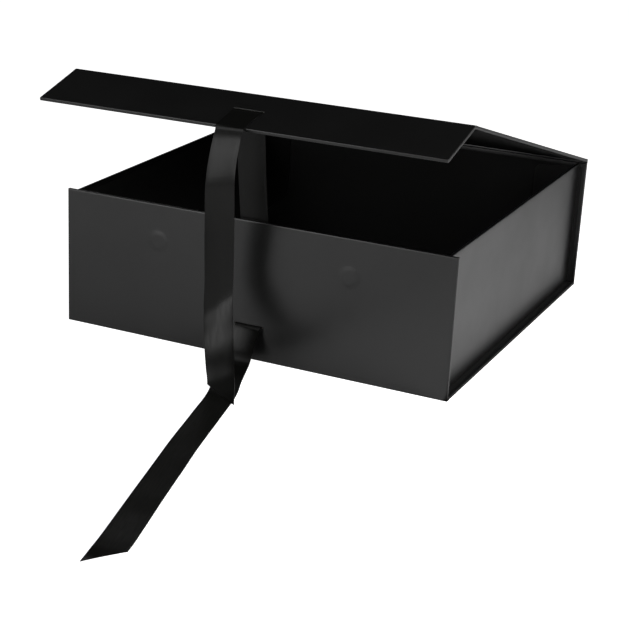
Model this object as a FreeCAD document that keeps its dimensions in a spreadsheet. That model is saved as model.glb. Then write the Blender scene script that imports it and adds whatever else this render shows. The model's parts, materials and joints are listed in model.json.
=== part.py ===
import FreeCAD, Part
import math
import os
import re
import Sketcher

# Collapsible magnetic gift box, lid ajar, with one ribbon threaded through the flap and the front wall.
# The origin is the centre of the base's underside: +X right, +Y to the back, +Z up, in millimetres.

# Driving dimensions, in millimetres and degrees
sizes = {
    # Case: one sheet of cover paper over five boards of one width
    "case_width": 310,
    "case_depth": 300,
    "wall_height": 104.5,
    "board": 2.0,
    "paper": 0.2,
    "turn_in": 12,
    "lining_inset": 3,
    "fold_gap": 0.4,
    # Lid and flap: places of their folds and the angles they stand at
    "lid_gap": 0.6,
    "lid_fold_lift": 1.7,
    "lid_edge_gap": 0.3,
    "lid_angle": 16.4,
    "flap_gap": 0.6,
    "flap_edge_gap": 0.3,
    "flap_depth": 49,
    "flap_angle": 31.4,
    # Side walls, set in from the ends of the case
    "side_inset": 6,
    "side_drop": 0.6,
    "side_end_gap": 0.2,
    "side_foot_gap": 0.2,
    "side_fold_lift": 1.4,
    "hinge_tape_reach": 10,
    "hinge_tape_end": 8,
    "hinge_tape_thickness": 0.12,
    # Corner flaps on the upright edges of the side walls
    "corner_reach": 34,
    "corner_card": 0.8,
    "corner_edge_gap": 0.2,
    "corner_mitre_gap": 1.0,
    "corner_top_drop": 2.0,
    "corner_top_slope": 4.0,
    "corner_rounding": 5,
    "tape_width": 14,
    "tape_thickness": 0.2,
    "tape_place": 10,
    "tape_top_gap": 6,
    # Magnets in the front wall and the flap
    "magnet_diameter": 12,
    "magnet_thickness": 1.5,
    "magnet_spacing": 153.5,
    "magnet_drop": 28.5,
    "magnet_fit": 0.1,
    "dome_margin": 1.2,
    "dome_height": 0.25,
    # Ribbon and its slits
    "slit_length": 23,
    "slit_width": 1.0,
    "front_slit_height": 26.2,
    "flap_slit_place": 24,
    "ribbon_width": 22,
    "ribbon_thickness": 0.35,
    "ribbon_clearance": 0.08,
    "slit_bend_radius": 0.4,
    "edge_bend_radius": 12,
    "edge_bend_turn": 45,
    "hang_bend_radius": 50,
    "tail_turn": 28,
    "tail_turn_radius": 50,
    "tail_straight": 75,
    "tail_tip_height": 3,
    "tail_cut_slant": 22,
    "lower_heading": 13,
    "lower_exit_run": 1,
    "lower_drop_turn": 62,
    "lower_drop_radius": 8,
    "lower_land_radius": 22,
    "lower_reach": 288,
    "lower_curl_run": 26,
    "lower_curl_turn": 7,
    "lower_cut_slant": 24,
}

doc = FreeCAD.newDocument("gift_box")
sheet = doc.addObject("Spreadsheet::Sheet", "Sizes")
for row, (alias, amount) in enumerate(sizes.items(), start=1):
    sheet.set(f"A{row}", alias)
    sheet.set(f"B{row}", str(amount))
    sheet.setAlias(f"B{row}", alias)
doc.recompute()


def number(text):
    """Value of an expression over the sheet's sizes."""
    return float(sheet.evalExpression(text))


def sheet_name(word):
    """The word as the sheet's expressions know it, if it is one of the sizes."""
    return f"Sizes.{word}" if word in sizes else word


def of(text):
    """Puts the sheet's name before each size that an expression uses."""
    return re.sub(r"[a-z]+(_[a-z]+)*", lambda word: sheet_name(word.group()), text)


# Thickness of a wrapped board: cover, board, turn-in and lining
PANEL = of("(board + 3 * paper)")
HALF_WIDTH = of("case_width / 2")
HALF_DEPTH = of("case_depth / 2")

# Fold of the lid on the back wall, and fold of the flap on the lid
LID_FOLD_Y = HALF_DEPTH
LID_FOLD_Z = of("wall_height + lid_fold_lift")
LID_FOLD_DROP = of("(lid_fold_lift - lid_gap)")
LID_LENGTH = of("(case_depth + flap_gap)")
FLAP_TILT = of("(flap_angle - lid_angle)")
LID_COS = of("cos(lid_angle)")
LID_SIN = of("sin(lid_angle)")
FLAP_COS = f"cos({FLAP_TILT})"
FLAP_SIN = f"sin({FLAP_TILT})"
FLAP_FOLD_Y = f"({LID_FOLD_Y} - {LID_LENGTH} * {LID_COS} - {LID_FOLD_DROP} * {LID_SIN})"
FLAP_FOLD_Z = f"({LID_FOLD_Z} + {LID_LENGTH} * {LID_SIN} - {LID_FOLD_DROP} * {LID_COS})"

# Inner faces that the side walls and the corner flaps stand on
SIDE_FACE = of("(case_width / 2 - side_inset)") + f" - {PANEL}"
CORNER_FACE = f"{HALF_DEPTH} - {PANEL} - " + of("tape_thickness - corner_card")
SIDE_TOP = of("(wall_height - side_drop)")
SIDE_FOOT = f"({PANEL} + " + of("side_foot_gap)")
SIDE_FOLD_Z = f"({PANEL} + " + of("side_fold_lift)")

X_AXIS = FreeCAD.Vector(1, 0, 0)
Y_AXIS = FreeCAD.Vector(0, 1, 0)
Z_AXIS = FreeCAD.Vector(0, 0, 1)


def place(piece, base, rotation=None, tilt=None):
    """Sets a piece down: base is three expressions, tilt an expression for a turn about X."""
    turn = rotation if rotation is not None else FreeCAD.Rotation()
    if tilt is not None:
        turn = FreeCAD.Rotation(X_AXIS, number(tilt))
    spot = FreeCAD.Vector(*[number(text) for text in base])
    piece.Placement = FreeCAD.Placement(spot, turn)
    for letter, text in zip("xyz", base):
        piece.setExpression(f"Placement.Base.{letter}", text)
    if tilt is not None:
        piece.setExpression("Placement.Rotation.Angle", tilt)


def new_body(label):
    """An empty body under the name of its node."""
    body = doc.addObject("PartDesign::Body", label)
    body.Label = label
    return body


def new_sketch(body, name, level="0", role="XY_Plane"):
    """A sketch on one of the body's own planes, lifted to a level."""
    sketch = body.newObject("Sketcher::SketchObject", name)
    plane = [item for item in body.Origin.OriginFeatures if item.Role == role][0]
    sketch.AttachmentSupport = [(plane, "")]
    sketch.MapMode = "FlatFace"
    sketch.AttachmentOffset = FreeCAD.Placement(FreeCAD.Vector(0, 0, number(level)), FreeCAD.Rotation())
    sketch.setExpression("AttachmentOffset.Base.z", level)
    return sketch


def pin(sketch, kind, edge, end, text):
    """Holds one end of an edge at a coordinate given by an expression."""
    if text == "0":
        axis = -2 if kind == "DistanceX" else -1
        sketch.addConstraint(Sketcher.Constraint("PointOnObject", edge, end, axis))
        return
    held = sketch.addConstraint(Sketcher.Constraint(kind, -1, 1, edge, end, number(text)))
    sketch.setExpression(f"Constraints[{held}]", text)


def outline(sketch, corners):
    """A closed outline of straight edges whose corners are pairs of expressions."""
    spots = [FreeCAD.Vector(number(across), number(along), 0) for across, along in corners]
    first = sketch.GeometryCount
    for index, spot in enumerate(spots):
        following = spots[(index + 1) % len(spots)]
        sketch.addGeometry(Part.LineSegment(spot, following), False)
    for index in range(len(spots)):
        after = first + (index + 1) % len(spots)
        sketch.addConstraint(Sketcher.Constraint("Coincident", first + index, 2, after, 1))
    for index, (across, along) in enumerate(corners):
        pin(sketch, "DistanceX", first + index, 1, across)
        pin(sketch, "DistanceY", first + index, 1, along)


def rectangle(sketch, edges, inset="0"):
    """A rectangle from its left, right, low and high edges, drawn in by an inset."""
    left, right, low, high = edges
    if inset != "0":
        left, right = f"{left} + {inset}", f"{right} - {inset}"
        low, high = f"{low} + {inset}", f"{high} - {inset}"
    outline(sketch, [(left, low), (right, low), (right, high), (left, high)])


def circle(sketch, across, along, radius):
    """A circle held by its centre and radius."""
    centre = FreeCAD.Vector(number(across), number(along), 0)
    index = sketch.addGeometry(Part.Circle(centre, Z_AXIS, number(radius)), False)
    pin(sketch, "DistanceX", index, 3, across)
    pin(sketch, "DistanceY", index, 3, along)
    held = sketch.addConstraint(Sketcher.Constraint("Radius", index, number(radius)))
    sketch.setExpression(f"Constraints[{held}]", radius)


def pad(body, sketch, name, length, reverse=False):
    """Raises a sketch into solid material."""
    feature = body.newObject("PartDesign::Pad", name)
    feature.Profile = sketch
    feature.Length = number(length)
    feature.setExpression("Length", length)
    feature.Reversed = reverse
    sketch.Visibility = False
    return feature


def pocket(body, sketch, name, depth, reverse=False):
    """Cuts a sketch into the body and makes sure that material went."""
    doc.recompute()
    before = body.Shape.Volume
    feature = body.newObject("PartDesign::Pocket", name)
    feature.Profile = sketch
    feature.Length = number(depth)
    feature.setExpression("Length", depth)
    feature.Reversed = reverse
    doc.recompute()
    if body.Shape.Volume >= before:
        raise RuntimeError(f"{body.Label}: {name} cuts nothing")
    return feature


# Wrapped boards


def slit_edges(along):
    """Edges of a ribbon slit, centred across the box at a place along the panel."""
    half_length = of("slit_length / 2")
    half_width = of("slit_width / 2")
    return (f"-{half_length}", half_length, f"{along} - {half_width}", f"{along} + {half_width}")


def cut_slit(body, along):
    """A ribbon slit through the whole thickness of a panel's piece."""
    sketch = new_sketch(body, f"{body.Label}_slit_outline", f"2 * {PANEL}")
    rectangle(sketch, slit_edges(along))
    pocket(body, sketch, f"{body.Label}_slit", f"3 * {PANEL}")


def magnet_centres(along):
    """Centres of the two magnets of a panel, as pairs of expressions."""
    half = of("magnet_spacing / 2")
    return [(f"-{half}", along), (half, along)]


def make_board(name, edges):
    """The greyboard inside a panel."""
    body = new_body(f"{name}_board")
    sketch = new_sketch(body, f"{name}_board_outline", of("paper"))
    rectangle(sketch, edges, of("paper"))
    pad(body, sketch, f"{name}_board_sheet", of("board"))
    return body


def make_cover(name, edges):
    """The cover paper: outer skin, the wrap round the board's edges, and the turn-in."""
    body = new_body(f"{name}_cover")
    skin = new_sketch(body, f"{name}_cover_skin_outline")
    rectangle(skin, edges)
    pad(body, skin, f"{name}_cover_skin", of("paper"))
    wrap = new_sketch(body, f"{name}_cover_wrap_outline", of("paper"))
    rectangle(wrap, edges)
    rectangle(wrap, edges, of("paper"))
    pad(body, wrap, f"{name}_cover_wrap", of("board"))
    turned = new_sketch(body, f"{name}_cover_turn_in_outline", of("paper + board"))
    rectangle(turned, edges)
    rectangle(turned, edges, of("turn_in"))
    pad(body, turned, f"{name}_cover_turn_in", of("paper"))
    return body


def make_lining(name, edges):
    """The lining: it lies on the board inside the turn-in and laps over it."""
    body = new_body(f"{name}_lining")
    middle = new_sketch(body, f"{name}_lining_middle_outline", of("paper + board"))
    rectangle(middle, edges, of("turn_in"))
    pad(body, middle, f"{name}_lining_middle", of("paper"))
    lap = new_sketch(body, f"{name}_lining_lap_outline", of("board + 2 * paper"))
    rectangle(lap, edges, of("lining_inset"))
    pad(body, lap, f"{name}_lining_lap", of("paper"))
    return body


def panel(name, edges):
    """The three pieces of one wrapped panel: outer face at zero, lining towards +Z."""
    return [make_board(name, edges), make_cover(name, edges), make_lining(name, edges)]


def magnet_pair(name, level, along, reverse):
    """Two disc magnets that lie in the bores of a panel's board."""
    discs = []
    for side, (across, place_along) in zip(("left", "right"), magnet_centres(along)):
        body = new_body(f"{name}_magnet_{side}")
        sketch = new_sketch(body, f"{body.Label}_outline", level)
        circle(sketch, across, place_along, of("magnet_diameter / 2"))
        pad(body, sketch, f"{body.Label}_disc", of("magnet_thickness"), reverse)
        discs.append(body)
    return discs


def bore_magnets(body, level, along, reverse):
    """Blind bores for the magnets in a board, open to one of its faces."""
    sketch = new_sketch(body, f"{body.Label}_bore_outline", level)
    for across, place_along in magnet_centres(along):
        circle(sketch, across, place_along, of("magnet_diameter / 2 + magnet_fit"))
    pocket(body, sketch, f"{body.Label}_bores", of("magnet_thickness"), reverse)


def raise_domes(body, along):
    """The low round swellings that the magnets press into the cover paper."""
    sketch = new_sketch(body, f"{body.Label}_dome_outline")
    for across, place_along in magnet_centres(along):
        circle(sketch, across, place_along, of("magnet_diameter / 2 + dome_margin"))
    domes = pad(body, sketch, f"{body.Label}_domes", of("dome_height"), True)
    doc.recompute()
    level = -number(of("dome_height"))
    rims = []
    for index, edge in enumerate(domes.Shape.Edges):
        if abs(edge.BoundBox.ZMin - level) < 1e-6 and abs(edge.BoundBox.ZMax - level) < 1e-6:
            rims.append(f"Edge{index + 1}")
    rounding = body.newObject("PartDesign::Fillet", f"{body.Label}_dome_rims")
    rounding.Base = (domes, rims)
    rounding.Radius = 0.8 * number(of("dome_height"))
    rounding.setExpression("Radius", of("0.8 * dome_height"))


BASE_REACH = f"{HALF_DEPTH} - {PANEL} - " + of("fold_gap")
CASE_EDGES = (f"-{HALF_WIDTH}", HALF_WIDTH)

base_pieces = panel("base", (*CASE_EDGES, f"-({BASE_REACH})", BASE_REACH))

front_pieces = panel("front_wall", (*CASE_EDGES, f"-{of('wall_height')}", "0"))
FRONT_SLIT = f"-{of('front_slit_height')}"
FRONT_MAGNETS = f"-({of('wall_height + lid_gap - magnet_drop')})"
for piece in front_pieces:
    cut_slit(piece, FRONT_SLIT)
bore_magnets(front_pieces[0], of("paper"), FRONT_MAGNETS, True)
raise_domes(front_pieces[1], FRONT_MAGNETS)
front_pieces += magnet_pair("front_wall", of("paper"), FRONT_MAGNETS, False)
for piece in front_pieces:
    place(piece, ("0", f"-{HALF_DEPTH}", "0"), FreeCAD.Rotation(X_AXIS, -90))

back_pieces = panel("back_wall", (*CASE_EDGES, "0", of("wall_height")))
for piece in back_pieces:
    place(piece, ("0", HALF_DEPTH, "0"), FreeCAD.Rotation(X_AXIS, 90))

lid_pieces = panel("lid", (*CASE_EDGES, of("lid_edge_gap"), LID_LENGTH))
LID_RISE = f"({PANEL} - {LID_FOLD_DROP})"
LID_BASE = ("0", f"{LID_FOLD_Y} + {LID_RISE} * {LID_SIN}", f"{LID_FOLD_Z} + {LID_RISE} * {LID_COS}")
for piece in lid_pieces:
    place(piece, LID_BASE, tilt=of("180 - lid_angle"))

flap_pieces = panel("flap", (*CASE_EDGES, of("flap_edge_gap"), of("flap_depth")))
FLAP_INNER = of("paper + board")
for piece in flap_pieces:
    cut_slit(piece, of("flap_slit_place"))
bore_magnets(flap_pieces[0], FLAP_INNER, of("magnet_drop"), False)
flap_pieces += magnet_pair("flap", FLAP_INNER, of("magnet_drop"), True)
FLAP_BASE = ("0", f"{FLAP_FOLD_Y} - {PANEL} * {FLAP_SIN}", f"{FLAP_FOLD_Z} + {PANEL} * {FLAP_COS}")
FLAP_TURN = f"180 + {FLAP_TILT}"
for piece in flap_pieces:
    place(piece, FLAP_BASE, tilt=FLAP_TURN)

# Side walls: one model, turned half round for the right side
SIDE_TURNS = {
    "left": FreeCAD.Rotation(),
    "right": FreeCAD.Rotation(Z_AXIS, 180),
}
SIDE_REACH = f"{HALF_DEPTH} - {PANEL} - " + of("side_end_gap")
SIDE_EDGES = (f"-{SIDE_TOP}", f"-{SIDE_FOOT}", f"-({SIDE_REACH})", SIDE_REACH)
SIDE_OUTER = of("(case_width / 2 - side_inset)")
STAND_UP = FreeCAD.Rotation(Y_AXIS, 90)
TAPE_EDGE = f"({SIDE_REACH} - {of('hinge_tape_end')})"


def hinge_tape(name):
    """The paper tape that hinges a side wall to the base: an angle along the inner corner."""
    body = new_body(f"{name}_hinge_tape")
    sketch = new_sketch(body, f"{name}_hinge_tape_profile", f"-{TAPE_EDGE}", "XZ_Plane")
    reach = of("hinge_tape_reach")
    thin = of("hinge_tape_thickness")
    corners = [
        ("0", PANEL),
        (reach, PANEL),
        (reach, f"{PANEL} + {thin}"),
        (thin, f"{PANEL} + {thin}"),
        (thin, f"{SIDE_FOOT} + {reach}"),
        ("0", f"{SIDE_FOOT} + {reach}"),
    ]
    outline(sketch, corners)
    pad(body, sketch, f"{name}_hinge_tape_strip", f"2 * {TAPE_EDGE}")
    return body


# Corner flaps: card with a 45 degree mitre at the foot, so that it clears the base as the wall folds in

CORNER_FOOT = f"({SIDE_FOLD_Z} + {of('corner_mitre_gap')})"
CORNER_TOP = f"({SIDE_TOP} - {of('corner_top_drop')})"


def corner_flap(name, at_back):
    """The card of one corner flap, with its two free corners rounded."""
    body = new_body(f"{name}_corner_flap")
    sketch = new_sketch(body, f"{name}_corner_flap_outline", "0", "XZ_Plane")
    near = of("corner_edge_gap")
    far = of("corner_reach")
    corners = [
        (near, f"{CORNER_FOOT} + {near}"),
        (far, f"{CORNER_FOOT} + {far}"),
        (far, f"{CORNER_TOP} - {of('corner_top_slope')}"),
        (near, CORNER_TOP),
    ]
    outline(sketch, corners)
    card = pad(body, sketch, f"{name}_corner_flap_card", of("corner_card"), at_back)
    doc.recompute()
    reach = number(far)
    free = []
    for index, edge in enumerate(card.Shape.Edges):
        box = edge.BoundBox
        if box.XMin > reach - 1e-6 and box.ZLength < 1e-6:
            free.append(f"Edge{index + 1}")
    rounding = body.newObject("PartDesign::Fillet", f"{name}_corner_flap_rounding")
    rounding.Base = (card, free)
    rounding.Radius = number(of("corner_rounding"))
    rounding.setExpression("Radius", of("corner_rounding"))
    return body


def corner_tape(name, at_back):
    """The double-sided tape between a corner flap and the wall that it is stuck to."""
    body = new_body(f"{name}_corner_tape")
    level = of("corner_card") if not at_back else of("-1 * corner_card")
    sketch = new_sketch(body, f"{name}_corner_tape_outline", level, "XZ_Plane")
    left = of("tape_place")
    right = of("(tape_place + tape_width)")
    top = f"{CORNER_TOP} - {of('tape_top_gap')}"
    corners = [
        (left, f"{CORNER_FOOT} + {right}"),
        (right, f"{CORNER_FOOT} + {right}"),
        (right, top),
        (left, top),
    ]
    outline(sketch, corners)
    pad(body, sketch, f"{name}_corner_tape_strip", of("tape_thickness"), at_back)
    return body


for side, half_turn in SIDE_TURNS.items():
    sign = "-" if side == "left" else ""
    for piece in panel(f"{side}_wall", SIDE_EDGES):
        place(piece, (f"{sign}{SIDE_OUTER}", "0", "0"), half_turn.multiply(STAND_UP))
    place(hinge_tape(f"{side}_wall"), (f"{sign}({SIDE_FACE})", "0", "0"), half_turn)
    for end in ("front", "back"):
        at_back = (end == "back") == (side == "left")
        toward = "-" if end == "front" else ""
        spot = (f"{sign}({SIDE_FACE})", f"{toward}({CORNER_FACE})", "0")
        place(corner_flap(f"{end}_{side}", at_back), spot, half_turn)
        place(corner_tape(f"{end}_{side}", at_back), spot, half_turn)

# Fold strips: the cover paper where it runs from one board to the next


def fold_strip(name, corners):
    """A strip of cover paper across the case, from its section in the YZ plane."""
    body = new_body(name)
    sketch = new_sketch(body, f"{name}_section", f"-{HALF_WIDTH}", "YZ_Plane")
    outline(sketch, corners)
    pad(body, sketch, f"{name}_strip", of("case_width"))
    return body


PAPER = of("paper")
WALL_INNER = f"({HALF_DEPTH} - {PANEL})"
BASE_EDGE = f"({BASE_REACH})"
fold_strip("fold_front", [
    (f"-{WALL_INNER}", "0"),
    (f"-{BASE_EDGE}", "0"),
    (f"-{BASE_EDGE}", PAPER),
    (f"-{WALL_INNER}", PAPER),
])
fold_strip("fold_back", [
    (BASE_EDGE, "0"),
    (WALL_INNER, "0"),
    (WALL_INNER, PAPER),
    (BASE_EDGE, PAPER),
])

LID_REAR_Y = f"({LID_FOLD_Y} - {of('lid_edge_gap')} * {LID_COS} + {LID_RISE} * {LID_SIN})"
LID_REAR_Z = f"({LID_FOLD_Z} + {of('lid_edge_gap')} * {LID_SIN} + {LID_RISE} * {LID_COS})"
fold_strip("fold_lid", [
    (HALF_DEPTH, f"{of('wall_height')} - {PANEL}"),
    (f"{HALF_DEPTH} + {PAPER}", f"{of('wall_height')} - {PANEL}"),
    (f"{LID_REAR_Y} + {PAPER}", LID_REAR_Z),
    (LID_REAR_Y, LID_REAR_Z),
])

LID_FRONT_Y = f"({FLAP_FOLD_Y} + {PANEL} * {LID_SIN})"
LID_FRONT_Z = f"({FLAP_FOLD_Z} + {PANEL} * {LID_COS})"
FLAP_REAR_Y = f"({FLAP_FOLD_Y} - {PANEL} * {FLAP_SIN} - {of('flap_edge_gap')} * {FLAP_COS})"
FLAP_REAR_Z = f"({FLAP_FOLD_Z} + {PANEL} * {FLAP_COS} - {of('flap_edge_gap')} * {FLAP_SIN})"
fold_strip("fold_flap", [
    (LID_FRONT_Y, LID_FRONT_Z),
    (LID_FRONT_Y, f"{LID_FRONT_Z} + {PAPER}"),
    (FLAP_REAR_Y, f"{FLAP_REAR_Z} + {PAPER}"),
    (FLAP_REAR_Y, FLAP_REAR_Z),
])


# Ribbon: flat strips along paths of straight runs and tangent arcs in an upright plane

RIGHT_ANGLE = 90


class RibbonPath:
    """A path in the YZ plane that keeps both faces of the ribbon as it grows."""

    def __init__(self, start, heading):
        self.spot = FreeCAD.Vector(-number(of("ribbon_width / 2")), *start)
        self.heading = heading
        self.half = number(of("ribbon_thickness / 2"))
        self.upper = []
        self.lower = []
        self.length = 0.0

    def ahead(self, angle=None):
        """Unit vector along a heading: zero points to -Y, ninety points down."""
        turn = math.radians(self.heading if angle is None else angle)
        return FreeCAD.Vector(0, -math.cos(turn), -math.sin(turn))

    def above(self, angle=None):
        """Unit vector square to a heading, on the upper face."""
        return X_AXIS.cross(self.ahead(angle)) * -1

    def straight(self, run):
        """Adds a straight run."""
        goal = self.spot + self.ahead() * run
        offset = self.above() * self.half
        self.upper.append(Part.LineSegment(self.spot + offset, goal + offset).toShape())
        self.lower.append(Part.LineSegment(self.spot - offset, goal - offset).toShape())
        self.spot = goal
        self.length += run

    def turn(self, radius, degrees):
        """Adds a tangent arc: a positive turn bends down, a negative one bends up."""
        sign = 1 if degrees > 0 else -1
        centre = self.spot - self.above() * radius * sign
        middle_angle = self.heading + degrees / 2
        last_angle = self.heading + degrees
        for edges, offset in ((self.upper, self.half), (self.lower, -self.half)):
            reach = radius * sign + offset
            points = [centre + self.above(a) * reach for a in (self.heading, middle_angle, last_angle)]
            edges.append(Part.Arc(*points).toShape())
        self.spot = centre + self.above(last_angle) * radius * sign
        self.heading = last_angle
        self.length += radius * math.radians(abs(degrees))

    def solid(self):
        """The ribbon's solid, centred across the box."""
        first, last = self.upper[0], self.upper[-1]
        near, far = self.lower[0], self.lower[-1]
        caps = [
            Part.LineSegment(near.firstVertex().Point, first.firstVertex().Point).toShape(),
            Part.LineSegment(last.lastVertex().Point, far.lastVertex().Point).toShape(),
        ]
        edges = Part.__sortEdges__(self.upper + self.lower + caps)
        face = Part.Face(Part.Wire(edges))
        width = number(of("ribbon_width"))
        strip = face.extrude(X_AXIS * width)
        expected = width * 2 * self.half * self.length
        if abs(strip.Volume - expected) > 0.02 * expected:
            raise RuntimeError("a ribbon strip has lost its section")
        return strip

    def slanted(self, slant, left_is_short):
        """The ribbon's solid with its free end cut on the slant, shorter on one side."""
        width = X_AXIS * number(of("ribbon_width"))
        left, right = self.spot, self.spot + width
        short = (left if left_is_short else right) - self.ahead() * slant
        above = self.above() * slant / 2
        waste = Part.Face(Part.makePolygon([left - above, right - above, short - above, left - above]))
        return self.solid().cut(waste.extrude(above * 2))


def ribbon(label, shape, spot=None, turn=None):
    """Sets down one strip of the ribbon under its node's name."""
    feature = doc.addObject("Part::Feature", label)
    feature.Label = label
    feature.Shape = shape
    feature.Placement = FreeCAD.Placement(spot or FreeCAD.Vector(), turn or FreeCAD.Rotation())
    return feature


thickness = number(PANEL)
lift = number(of("ribbon_thickness / 2 + ribbon_clearance"))
slit_bend = number(of("slit_bend_radius"))
flap_tilt = number(FLAP_TILT)
flap_base = FreeCAD.Vector(*[number(text) for text in FLAP_BASE])
flap_ahead = FreeCAD.Vector(0, -math.cos(math.radians(flap_tilt)), -math.sin(math.radians(flap_tilt)))
flap_out = X_AXIS.cross(flap_ahead) * -1


def on_flap(along, outward):
    """A point of the flap, from its distance along the flap and its height off the outer face."""
    return flap_base + flap_ahead * along + flap_out * outward


slit_along = number(of("flap_slit_place"))
through = on_flap(slit_along, -thickness)
rising = RibbonPath((through.y, through.z), flap_tilt - RIGHT_ANGLE)
rising.straight(thickness + lift - slit_bend)
rising.turn(slit_bend, RIGHT_ANGLE)
rising.straight(number(of("flap_depth")) - slit_along - slit_bend)
ribbon("ribbon_on_flap", rising.solid())

first_turn = number(of("edge_bend_turn"))
bend_one = RibbonPath((rising.spot.y, rising.spot.z), rising.heading)
bend_one.turn(number(of("edge_bend_radius")), first_turn)
ribbon("ribbon_edge_bend", bend_one.solid())

bend_two = RibbonPath((bend_one.spot.y, bend_one.spot.z), bend_one.heading)
bend_two.turn(number(of("hang_bend_radius")), RIGHT_ANGLE - bend_one.heading)
ribbon("ribbon_hang_bend", bend_two.solid())

tail_turn = number(of("tail_turn"))
tail = RibbonPath((bend_two.spot.y, bend_two.spot.z), bend_two.heading)
tail.straight(number(of("tail_straight")))
tail.turn(number(of("tail_turn_radius")), -tail_turn)
tip_drop = tail.spot.z - number(of("tail_tip_height"))
tail.straight(tip_drop / math.cos(math.radians(tail_turn)))
ribbon("ribbon_upper_tail", tail.slanted(number(of("tail_cut_slant")), left_is_short=True))

front_face = -number(HALF_DEPTH)
wall_inner = front_face + thickness
slit_height = number(of("front_slit_height"))
rim = number(of("wall_height + lid_gap"))
inside = wall_inner + lift
climbing = RibbonPath((front_face, slit_height), 2 * RIGHT_ANGLE)
climbing.straight(thickness + lift - slit_bend)
climbing.turn(slit_bend, RIGHT_ANGLE)
climbing.straight(rim - climbing.spot.z)
ribbon("ribbon_inner_run", climbing.solid())

span_end = through - flap_out * lift
span_y = span_end.y - climbing.spot.y
span_z = span_end.z - climbing.spot.z - lift
span = RibbonPath((climbing.spot.y, climbing.spot.z + lift), math.degrees(math.atan2(-span_z, -span_y)))
span.straight(math.hypot(span_y, span_z))
ribbon("ribbon_inner_span", span.solid())

heading = number(of("lower_heading"))
drop_turn = number(of("lower_drop_turn"))
drop_radius = number(of("lower_drop_radius"))
land_radius = number(of("lower_land_radius"))
curved_drop = (drop_radius + land_radius) * (1 - math.cos(math.radians(drop_turn)))
straight_drop = slit_height - lift - curved_drop
skew = number(of("ribbon_width / 2")) * math.tan(math.radians(heading))
lower = RibbonPath((-skew, slit_height), 0)
lower.straight(number(of("lower_exit_run")))
lower.turn(drop_radius, drop_turn)
lower.straight(straight_drop / math.sin(math.radians(drop_turn)))
lower.turn(land_radius, -drop_turn)
lower.straight(number(of("lower_reach - lower_curl_run")))
curl_turn = number(of("lower_curl_turn"))
lower.turn(number(of("lower_curl_run")) / math.radians(curl_turn), -curl_turn)
ribbon(
    "ribbon_lower_tail",
    lower.slanted(number(of("lower_cut_slant")), left_is_short=False),
    FreeCAD.Vector(0, front_face, 0),
    FreeCAD.Rotation(Z_AXIS, heading),
)

doc.recompute()

# Each object is sound before anything is written
for item in doc.Objects:
    if "Invalid" in item.State or "Error" in item.State:
        raise RuntimeError(f"{item.Label} did not compute: {item.State}")

pieces = [item for item in doc.Objects if item.TypeId in ("PartDesign::Body", "Part::Feature")]
os.makedirs("parts", exist_ok=True)
for piece in pieces:
    if piece.Shape.isNull() or not piece.Shape.isValid():
        raise RuntimeError(f"{piece.Label} has no valid shape")
    if len(piece.Shape.Solids) != 1:
        raise RuntimeError(f"{piece.Label} is not one solid")
    piece.Shape.exportStep(f"parts/{piece.Label}.step")
print(len(pieces), "pieces")
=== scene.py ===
import json
import logging
import math
from bisect import bisect_right
from dataclasses import dataclass, field
from enum import Enum
from typing import Callable, Sequence

import bpy
from mathutils import Matrix, Vector, noise


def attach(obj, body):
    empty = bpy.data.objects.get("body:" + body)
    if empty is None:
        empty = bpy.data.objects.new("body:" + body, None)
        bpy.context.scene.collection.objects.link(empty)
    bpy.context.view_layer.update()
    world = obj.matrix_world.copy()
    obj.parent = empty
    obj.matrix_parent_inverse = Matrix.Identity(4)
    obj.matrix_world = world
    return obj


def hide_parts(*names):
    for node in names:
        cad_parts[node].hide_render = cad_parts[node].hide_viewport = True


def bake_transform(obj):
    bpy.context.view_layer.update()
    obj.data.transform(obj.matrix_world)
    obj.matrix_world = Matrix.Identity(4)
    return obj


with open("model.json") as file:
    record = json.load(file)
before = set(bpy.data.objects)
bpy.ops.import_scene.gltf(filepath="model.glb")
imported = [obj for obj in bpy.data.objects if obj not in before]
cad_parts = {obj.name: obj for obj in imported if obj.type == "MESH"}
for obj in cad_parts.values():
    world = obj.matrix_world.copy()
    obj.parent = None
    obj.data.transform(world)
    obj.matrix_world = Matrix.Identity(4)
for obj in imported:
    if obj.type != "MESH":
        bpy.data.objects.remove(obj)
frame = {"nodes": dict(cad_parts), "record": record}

# Collapsible magnetic gift box in black satin-laminated paper, lid ajar, with a satin ribbon.
# Places are in metres in the box's own frame: +X right, +Y to the back, +Z up.

Material = bpy.types.Material
Node = bpy.types.Node
Piece = bpy.types.Object
Socket = bpy.types.NodeSocket
Tree = bpy.types.NodeTree
Pairs = tuple[tuple[float, float], ...]
Edges = tuple[Vector, Vector]

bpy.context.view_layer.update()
log = logging.getLogger("gift_box")
MM = 0.001
MM_PER_METRE = 1000
BEVEL_ANGLE = math.radians(50)
PROBE = 0.3 * MM

# Numbers of the mix node's sockets, which share their names: colours, then plain numbers.
COLOUR_A, COLOUR_B, COLOUR_MIXED = 6, 7, 2
NUMBER_A, NUMBER_B, NUMBER_MIXED = 2, 3, 0
WHITE = (1.0, 1.0, 1.0, 1.0)


def joint(name: str) -> dict:
    """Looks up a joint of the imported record.

    Args:
        name: The joint's name.

    Returns:
        The joint's entry, with its place, axis and range.
    """
    return next(entry for entry in frame["record"]["behaviour"]["joints"] if entry["name"] == name)


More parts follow.
